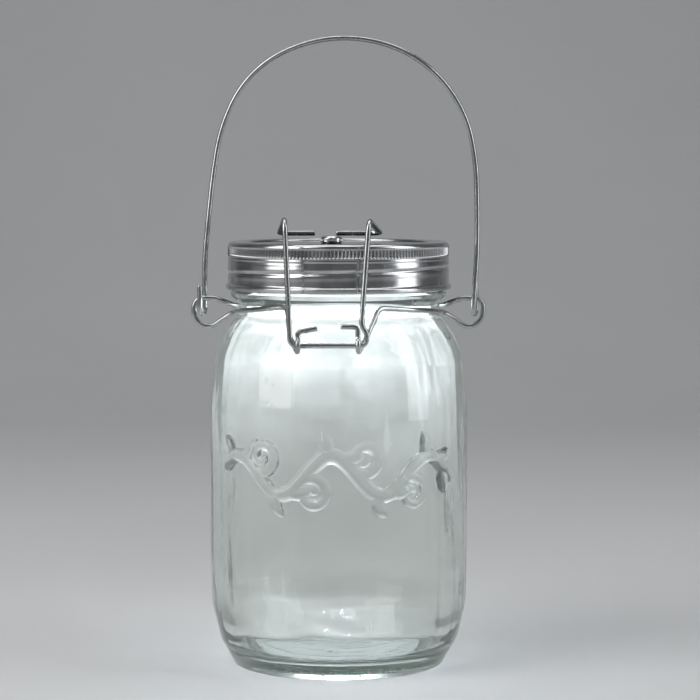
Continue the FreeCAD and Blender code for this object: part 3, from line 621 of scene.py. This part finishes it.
def relief_height(s, z):
    """Height of the relief at arc length s from the front middle and height z: strokes with a rounded back."""
    best = np.zeros_like(s)
    for st in vine_strokes():
        st = np.array(st)
        lo, hi = st[:, :2].min(0) - 3, st[:, :2].max(0) + 3
        sel = (s > lo[0]) & (s < hi[0]) & (z > lo[1]) & (z < hi[1])
        if not sel.any():
            continue
        ps, pz = s[sel], z[sel]
        h = np.zeros(len(ps))
        for a, b in zip(st[:-1], st[1:]):
            d = b[:2] - a[:2]
            L2 = d @ d
            if L2 < 1e-9:
                continue
            t = np.clip(((ps - a[0]) * d[0] + (pz - a[1]) * d[1]) / L2, 0, 1)
            dist = np.hypot(ps - a[0] - t * d[0], pz - a[1] - t * d[1])
            w = a[2] + (b[2] - a[2]) * t
            x = np.clip(dist / (w + 0.25), 0, 1)
            h = np.maximum(h, np.sqrt(np.clip(1 - x ** 2.6, 0, 1)) * np.clip(w / 2.1, 0.4, 1.1))
        cur = best[sel]
        best[sel] = np.maximum(cur, h)
    return best


def build_jar():
    c = [
        (0, 3.4),
        (34.4, 3.4, 2.0),
        (38.4, 0, 0.5),
        (41.6, 0, 1.2),
        (47.2, 9.6, 14.0),
        (BODY_R - 0.35, 25.0, 40.0),
        (BODY_R, 45.0, 90.0),
        (BODY_R, 103.0, 60.0),
        (BODY_R - 2.2, 125.0, 16.0),
        (BODY_R - 5.4, 131.6, 20.0),
        (GROOVE + 2.5, 137.4, 2.5),
        (GROOVE, 139.4, 1.2),
        (GROOVE, 143.6, 1.2),
        (BEAD - 0.4, 146.6, 1.0),
        (BEAD, 148.2, 0.8),
        (BEAD - 0.4, 149.2, 0.5),
        (FINISH, 149.6, 0.4),
        (FINISH, RIM, 0.9),
        (MOUTH, RIM, 0.9),
        (MOUTH, 139.4, 6.0),
        (MOUTH + 5.0, 131.5, 14.0),
        (INNER - 2.6, 122.0, 16.0),
        (INNER, 104.0, 60.0),
        (INNER, 34.0, 60.0),
        (INNER - 1.4, 16.0, 12.0),
        (42.4, 6.6, 8.0),
        (0, 6.0),
    ]
    prof = rounded(c, 0.95, 5.0)
    # closer rows where the relief stands
    fine = []
    for k, p in enumerate(prof):
        fine.append(p)
        if k + 1 < len(prof):
            q = prof[k + 1]
            if p[0] > 50 and q[0] > 50 and 60 < p[1] < 101 and p[2] <= 8:
                for j in (1, 2):
                    t = j / 3
                    fine.append((p[0] + (q[0] - p[0]) * t, p[1] + (q[1] - p[1]) * t, p[2]))
            if p[1] < 3.6 and q[1] < 3.6 and 29.5 < p[0] < 33.5 and q[0] < 34.6 and p[2] <= 1:
                for j in (1, 2, 3):
                    t = j / 4
                    fine.append((p[0] + (q[0] - p[0]) * t, p[1] + (q[1] - p[1]) * t, p[2]))
    n = 864

    def shape(th, r, z, tag, dist):
        out = (tag >= 3) & (tag <= 9)
        inn = (tag >= 19) & (tag <= 25)
        # outside: faint moulding waves, two mould seams, the vine
        w_out = waves(th, z, 3, 7, 2, 9, 0.03, 0.10) * 0.10
        w_out = w_out * smooth(z, 4, 14) * (1 - smooth(z, 120, 134))
        seam = 0.16 * (np.exp(-((np.cos(th) - 0) ** 2) * 0) * (np.exp(-(((th + 0.10) % math.pi) / 0.0075) ** 2) + np.exp(-((math.pi - (th + 0.10) % math.pi) / 0.0075) ** 2)))
        seam = seam * smooth(z, 6, 12) * (1 - smooth(z, 128, 136))
        s = ((th - 1.5 * math.pi + math.pi) % (2 * math.pi) - math.pi) * BODY_R
        h = np.zeros_like(r)
        sel = out & (np.abs(s) < 58) & (z > 58) & (z < 103)
        h[sel] = relief_height(s[sel], z[sel])
        r = r + np.where(out, w_out + seam + 1.85 * h, 0)
        # inside: stronger flow waves, mostly upright, as blown glass has
        w_in = waves(th, z, 11, 9, 3, 12, 0.01, 0.05) * 0.38 + waves(th, z, 12, 12, 4, 22, 0.06, 0.20) * 0.17 + waves(th, z, 14, 10, 24, 60, 0.01, 0.06) * 0.05
        w_in = w_in * smooth(z, 10, 24) * (1 - smooth(z, 130, 141))
        back = np.zeros_like(r)
        back[inn] = 0.45 * relief_height(s[inn] * BODY_R / INNER, z[inn]) if inn.any() else 0
        r = r + np.where(inn, w_in + back * 0, 0)
        # floor: settle rings; underside: the push-up's pips and ring of grip marks
        fl = (tag == 26) | (tag == 25)
        zz = np.where(fl & (r < 40), z + 0.05 * np.sin(r * 0.5 + 0.8 * np.sin(th * 2)) * smooth(r, 1, 6) + 0.30 * np.exp(-(((r - 34.2) / 0.5) ** 2)), z)
        under = (tag <= 1) & (z > 3.0)
        dots = np.clip(np.cos(th * 96), 0, 1) * np.exp(-(((r - 31.6) / 0.7) ** 2))
        ripple = 0.05 * np.sin(r * 2 * math.pi / 5.2 + 0.5 * np.sin(3 * th)) * smooth(r, 3, 8) * (1 - smooth(r, 26, 29))
        zz = np.where(under & (r > 1), zz + 0.85 * dots + ripple, zz)
        grip = (tag >= 2) & (tag <= 3) & (z < 1.2)
        r = r + np.where(grip & (r > 40.5), 0.10 * np.clip(np.sin(th * 150), 0, 1), 0)
        # the finish: one and a half turns of thread
        pitch = 5.3
        turn = (th - math.pi) % (2 * math.pi) / (2 * math.pi)
        fin = (tag >= 16) & (tag <= 17) & (r > 40)
        for k in (-1, 0, 1):
            zc = 155.9 + pitch / 2 + pitch * (turn + k)
            run = turn + k
            fade = smooth(run, -0.72, -0.62) * (1 - smooth(run, 0.80, 0.90))
            b = np.clip(1 - ((z - zc) / 1.25) ** 2, 0, 1)
            r = np.where(fin, r + (CREST - FINISH) * np.sqrt(b) * fade * (z < 164.8) * (z > 150.8), r)
        return r, zz

    jar = lathe("jar_glass_body", fine, n, M["glass"], shape, "jar", 1.0)
    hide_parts("glass_jar")
    return jar


build_jar()


# ---------------------------------------------------------------------------------------------------------------
# The wires
# ---------------------------------------------------------------------------------------------------------------
W = 1.05
EZ, EX = 145.5, 57.5
CY, CZ, CX, CH, ER = -50.5, 130.2, -3.8, 14.2, 2.3


def ring_point(angle, radius, z):
    a = math.radians(angle)
    return (radius * math.cos(a), radius * math.sin(a), z)


def eyelet(side):
    s = side
    return [
        ((s * 41.6, -2.4, 140.1), 3.0),
        ((s * 44.6, -0.8, 138.2), None),
        ((s * 51.4, 0, 133.35), 5.5),
        ((s * (EX - 0.05), 0, 136.5), 5.5),
        ((s * EX, 0, EZ), 3.6),
        ((s * 49.0, 0, EZ), 6.0),
        ((s * 44.9, 0.6, 143.9), None),
        ((s * 41.2, 2.3, 142.3), 3.0),
    ]


neck = [
    ((-7.8, -48.0, 136.6), None),
    ((-15.3, -48.0, 135.2), 1.6),
    ((-15.0, CY + ER, CZ + ER), 1.0),
    ((-15.1, CY - ER, CZ + ER), ER),
    ((-15.2, CY - ER, CZ - ER), ER),
    ((-15.7, CY + ER, CZ - ER), 2.2),
    ((-18.2, -47.7, 133.6), 6.0),
    ((-19.4, -39.6, 144.3), 4.0),
    (ring_point(226, 43.6, 142.9), None),
    (ring_point(205, 42.4, 141.4), None),
]
neck += eyelet(-1)
neck += [(ring_point(a, 40.4 / math.cos(math.radians(15)), z), None) for a, z in ((165, 142.2), (135, 141.4), (105, 141.0), (75, 141.0), (45, 141.4), (15, 142.2))]
neck += eyelet(1)[::-1]
neck += [
    (ring_point(335, 42.4, 141.3), None),
    (ring_point(315, 43.2, 142.5), None),
    ((15.8, -39.4, 143.7), 4.0),
    ((11.3, -47.4, 134.2), 6.0),
    ((8.2, CY + ER, CZ - ER), 2.2),
    ((7.7, CY - ER, CZ - ER), ER),
    ((7.6, CY - ER, CZ + ER), ER),
    ((7.6, CY + ER, CZ + ER), 1.0),
    ((7.6, -48.0, 137.2), 1.8),
    ((1.0, -48.0, 137.2), None),
]
clip = [
    ((-9.2, -5.0, 171.5), None),
    ((-23.4, -5.0, 171.5), 3.6),
    ((-20.2, -48.0, 178.1), 4.2),
    ((CX - CH, CY, CZ), 2.6),
    ((CX + CH + 0.4, CY, CZ), 2.4),
    ((CX + CH + 0.5, CY, CZ + 4.6), 2.4),
    ((8.9, -50.0, CZ + 7.8), 6.0),
    ((11.8, -48.0, 177.6), 4.2),
    ((16.8, -5.0, 171.5), 3.6),
    ((-0.9, -5.0, 171.5), None),
]
HR, HD = 3.0, 6.4
bail = [
    ((-55.0, -HR, EZ + 5.4), None),
    ((-54.9, -HR, EZ - HD), HR),
    ((-53.2, HR, EZ - HD), HR),
    ((-53.4, HR, 160.0), None),
    ((-51.9, 2.9, 176.0), None),
    ((-49.7, 2.8, 196.0), None),
    ((-46.8, 2.6, 212.4), None),
    ((-39.4, 2.2, 229.0), None),
    ((-26.6, 1.5, 241.2), None),
    ((-9.0, 0.5, 247.8), None),
    ((8.4, -0.4, 248.6), None),
    ((25.8, -1.4, 243.9), None),
    ((40.6, -2.2, 233.0), None),
    ((50.6, -2.8, 217.6), None),
    ((54.4, -3.0, 200.0), None),
    ((55.0, -3.0, 180.0), None),
    ((54.9, -3.0, 163.0), None),
    ((54.0, -HR, 150.0), None),
    ((53.4, -HR, EZ - HD), HR),
    ((54.9, HR, EZ - HD), HR),
    ((55.0, HR, EZ + 5.4), None),
]
for name, pts, mat, body, cad in (
    ("neck_wire_bent", neck, "wire_neck", "jar", "neck_wire"),
    ("front_clip_bent", clip, "wire_clip", "clip", "front_clip"),
    ("bail_bent", bail, "wire_bail", "bail", "bail_handle"),
):
    w = tube(name, path_points([p for p, _ in pts], [r for _, r in pts], 0.5), W * 0.985, M[mat], body, 24)
    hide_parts(cad)


# ---------------------------------------------------------------------------------------------------------------
# The screw band: thin rolled sheet with a knurled shoulder, a rolled thread and a curled lower edge
# ---------------------------------------------------------------------------------------------------------------
def build_band():
    c = [
        (35.8, 167.25, 0.0),
        (36.4, 167.6, 0.3),
        (43.35, 167.6, 1.2),
        (43.4, 161.7, 1.0),
        (43.4, 151.3, 0.4),
        (43.8, 150.7, 0.4),
        (43.8, 149.4, 0.2),
        (44.7, 149.4, 0.4),
        (44.8, 150.9, 0.5),
        (43.9, 151.7, 0.6),
        (43.9, 161.7, 1.4),
        (43.85, 168.1, 1.7),
        (36.4, 168.1, 0.4),
        (35.8, 167.7, 0.0),
    ]
    c = [x if x[2] else x[:2] for x in c]
    prof = rounded(c, 0.34, 7.0)
    n = 1536

    def shape(th, r, z, tag, dist):
        side = (r > 43.0) & (z < 166.9)
        # knurled shoulder: upright flutes right up under the rounded top edge
        kn = smooth(z, 162.7, 163.1) * (1 - smooth(z, 166.0, 166.5)) * (r > 43.0)
        flute = 0.5 - 0.5 * np.cos(th * 192)
        dr = -0.68 * kn * flute ** 1.2
        # a plain rolled step under the knurl
        dr = dr - 0.20 * np.exp(-(((z - 162.2) / 0.30) ** 2)) * side
        dr = dr - 0.14 * np.exp(-(((z - 160.9) / 0.30) ** 2)) * side
        # rolled thread: one long inward groove climbing to the right
        turn = ((th - math.pi) % (2 * math.pi)) / (2 * math.pi)
        for k in (-1, 0, 1):
            zc = 155.8 + 5.3 * (turn + k)
            run = turn + k
            fade = smooth(run, -0.30, -0.10) * (1 - smooth(run, 0.80, 0.94))
            g = np.exp(-(((z - zc) / 0.48) ** 2)) * 0.62 - np.exp(-(((z - zc - 1.5) / 1.1) ** 2)) * 0.10 - np.exp(-(((z - zc + 1.5) / 1.1) ** 2)) * 0.08
            dr = dr - g * fade * side * smooth(z, 151.9, 152.7) * (1 - smooth(z, 160.0, 160.8))
        # hand-handled tin: very slight out-of-round
        dr = dr + side * 0.04 * np.sin(3 * th + 0.6) * np.sin(z * 0.3)
        rr = np.where(side, r + dr, r)
        top = (z > 167.2) & (r < 42.3)
        zz = z + np.where(top, 0.05 * np.sin(4 * th + 1.0) * smooth(r, 36, 38) * (1 - smooth(r, 40, 41.5)) * 0.5, 0)
        # a pressed ring near the opening stiffens the flange
        zz = zz - np.where(top, 0.18 * np.exp(-(((r - 38.6) / 0.5) ** 2)), 0)
        return rr, zz

    band = lathe("lid_band_rolled", prof, n, M["band"], shape, "lid", 0.276)
    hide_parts("lid_band")


build_band()


# ---------------------------------------------------------------------------------------------------------------
# Solar cells' grid, the lamps, the magnet
# ---------------------------------------------------------------------------------------------------------------
def cell_grid():
    verts, quads = [], []

    def bar(x0, y0, x1, y1, z0, z1):
        k = len(verts)
        b = 0.015
        for z, g in ((z0, 0), (z1, b)):
            verts.extend([(x0 + g, y0 + g, z), (x1 - g, y0 + g, z), (x1 - g, y1 - g, z), (x0 + g, y1 - g, z)])
        quads.extend([(k, k + 3, k + 2, k + 1), (k + 4, k + 5, k + 6, k + 7)])
        for a in range(4):
            b2 = (a + 1) % 4
            quads.append((k + a, k + b2, k + 4 + b2, k + 4 + a))

    z0, z1 = 165.965, 166.0
    for sx in (0.4, -22.0):
        for sy in (0.4, -22.0):
            for f in (0.25, 0.75):
                x = sx + 21.6 * f
                bar(x - 0.45, sy + 0.5, x + 0.45, sy + 21.1, z0, z1 + 0.02)
            for k in range(12):
                y = sy + 1.1 + k * (21.6 - 2.2) / 11
                bar(sx + 0.6, y - 0.06, sx + 21.0, y + 0.06, z0, z1)
    ob = mesh_object("cell_grid", verts, quads, M["silver"], smooth=False)
    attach(ob, "lid")


cell_grid()


def build_lamp(node, sx, sy):
    x, y = 13.0 * sx, 13.0 * sy
    outer = rounded([(0, 144.6), (2.5, 144.6, 2.4), (2.5, 148.75, 0.15), (2.9, 148.75, 0.1), (2.9, 149.55, 0.1), (0, 149.55)], 0.3, 8)
    dome = lathe(node + "_dome", outer, 40, M["lens"])
    cup = lathe(node + "_die", rounded([(0, 147.3), (0.55, 147.3, 0.1), (1.15, 146.5, 0.1), (1.3, 146.55, 0.05), (0.9, 147.9, 0.1), (0, 147.9)], 0.2, 10), 32, M["die"])
    for ob in (dome, cup):
        ob.data.transform(Matrix.Translation((x * MM, y * MM, 0)))
        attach(ob, "lid")
    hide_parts(node)


for node, sx, sy in (("led_front_left", -1, -1), ("led_front_right", 1, -1), ("led_back_left", -1, 1), ("led_back_right", 1, 1)):
    build_lamp(node, sx, sy)


def build_magnet():
    c = [(0, 167.53), (3.6, 167.53, 0.1), (4.3, 167.75, 0.2), (4.4, 168.1, 0.2), (4.4, 169.35, 0.35), (3.75, 170.14, 0.5), (3.1, 170.18, 0.2), (2.9, 170.06, 0.15), (0, 170.08)]
    ob = lathe("switch_magnet_button", rounded(c, 0.3, 8), 128, M["chrome"])
    ob.data.transform(Matrix.Translation((-2.8 * MM, 0, 0)))
    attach(ob, "magnet")
    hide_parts("switch_magnet")


build_magnet()

# ---------------------------------------------------------------------------------------------------------------
# Materials for the CAD pieces that stay as they are
# ---------------------------------------------------------------------------------------------------------------
CAD_MATS = {
    "seal_ring": "seal",
    "lamp_housing": "housing",
    "solar_cover": "window",
    "cell_plate": "plate",
    "solar_cells": "cell",
    "housing_base": "base",
    "circuit_board": "board",
    "charge_controller": "chip",
    "inductor": "ferrite",
    "reed_switch": "reed",
    "battery": "sleeve",
    "battery_contact_plus": "contact",
    "battery_contact_minus": "contact",
    "base_screws": "screw",
    "board_screws": "screw",
    "solar_leads": "lead",
}
for node, key in CAD_MATS.items():
    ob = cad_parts[node]
    ob = bpy.data.objects[ob] if isinstance(ob, str) else ob
    if not ob.material_slots:
        ob.data.materials.append(M[key])
    for s in ob.material_slots:
        s.material = M[key]

# ---------------------------------------------------------------------------------------------------------------
# Floor, light, camera
# ---------------------------------------------------------------------------------------------------------------
def floor():
    """A pale sweep: flat under the jar, curving up behind."""
    prof = []
    for y in np.linspace(-6000, 900, 60):
        prof.append((y, 0.0))
    for a in np.linspace(0, math.pi / 2, 24)[1:]:
        prof.append((900 + 700 * math.sin(a), 700 * (1 - math.cos(a))))
    for z in np.linspace(700, 4200, 12)[1:]:
        prof.append((1600, z))
    xs = np.linspace(-8000, 8000, 33)
    verts = [(x, y, z) for (y, z) in prof for x in xs]
    k = len(xs)
    quads = [(i * k + j, i * k + j + 1, (i + 1) * k + j + 1, (i + 1) * k + j) for i in range(len(prof) - 1) for j in range(k - 1)]
    m = Mat("floor_paper", Roughness=0.75, Specular_IOR_Level=0.25)
    n = m.noise(m.coords(), 3.0, 4)
    g = m.noise(m.coords(), 900.0, 2)
    m.set(Base_Color=m.ramp(n, [(0.3, (0.60, 0.607, 0.615)), (0.7, (0.64, 0.647, 0.655))]), Normal=m.bump(g, 0.05, 0.0001))
    ob = mesh_object("studio_floor", verts, quads, m.m)


floor()


def area(name, loc, look, size, power, color=(1, 1, 1)):
    d = bpy.data.lights.new(name, "AREA")
    d.shape = "RECTANGLE"
    d.size, d.size_y = size
    d.energy = power
    d.color = color
    ob = bpy.data.objects.new(name, d)
    ob.location = loc
    ob.rotation_euler = (Vector(look) - Vector(loc)).to_track_quat("-Z", "Y").to_euler()
    bpy.context.scene.collection.objects.link(ob)
    return ob


area("key_left", (-0.85, -0.50, 0.75), (0, 0, 0.12), (0.80, 1.3), 8.5, (1.0, 0.99, 0.97))
area("fill_right", (0.90, -0.25, 0.50), (0, 0, 0.12), (0.45, 1.2), 4.2, (0.95, 0.98, 1.0))
area("top_soft", (0.0, 0.20, 1.4), (0, 0, 0.1), (1.2, 1.0), 6.5)

# the light that the four lamps give inside the jar
for sx in (-1, 1):
    for sy in (-1, 1):
        d = bpy.data.lights.new("lamp_light_%d%d" % (sx, sy), "POINT")
        d.energy = 0.46
        d.color = (0.93, 0.945, 1.0)
        d.shadow_soft_size = 0.0016
        ob = bpy.data.objects.new(d.name, d)
        ob.location = (0.013 * sx, 0.013 * sy, 0.1428)
        ob.visible_camera = False
        ob.visible_transmission = False
        bpy.context.scene.collection.objects.link(ob)

world = bpy.data.worlds.new("studio")
bpy.context.scene.world = world
world.use_nodes = True
bg = world.node_tree.nodes["Background"]
bg.inputs["Color"].default_value = (0.80, 0.83, 0.86, 1)
bg.inputs["Strength"].default_value = 0.15
room = world.node_tree.nodes.new("ShaderNodeBackground")
room.inputs["Color"].default_value = (0.80, 0.83, 0.86, 1)
room.inputs["Strength"].default_value = 0.30
rays = world.node_tree.nodes.new("ShaderNodeLightPath")
pick = world.node_tree.nodes.new("ShaderNodeMixShader")
world.node_tree.links.new(rays.outputs["Is Camera Ray"], pick.inputs[0])
world.node_tree.links.new(bg.outputs[0], pick.inputs[1])
world.node_tree.links.new(room.outputs[0], pick.inputs[2])
world.node_tree.links.new(pick.outputs[0], [x for x in world.node_tree.nodes if x.type == "OUTPUT_WORLD"][0].inputs["Surface"])

cam_data = bpy.data.cameras.new("camera")
cam_data.sensor_width = 36.0
cam_data.lens = 129.45
cam_data.dof.use_dof = False
cam = bpy.data.objects.new("camera", cam_data)
cam.location = (4.6 * MM, -1.0, 0.200)
pitch = math.radians(4.30)
cam.rotation_euler = (math.pi / 2 - pitch, 0, 0)
cam_data.clip_start, cam_data.clip_end = 0.05, 50
bpy.context.scene.collection.objects.link(cam)
bpy.context.scene.camera = cam

sc = bpy.context.scene
sc.view_settings.view_transform = "Standard"
sc.view_settings.look = "None"
for key, val in (("max_bounces", 24), ("transmission_bounces", 20), ("glossy_bounces", 8), ("diffuse_bounces", 6), ("transparent_max_bounces", 16)):
    if hasattr(sc, "cycles") and hasattr(sc.cycles, key):
        setattr(sc.cycles, key, val)
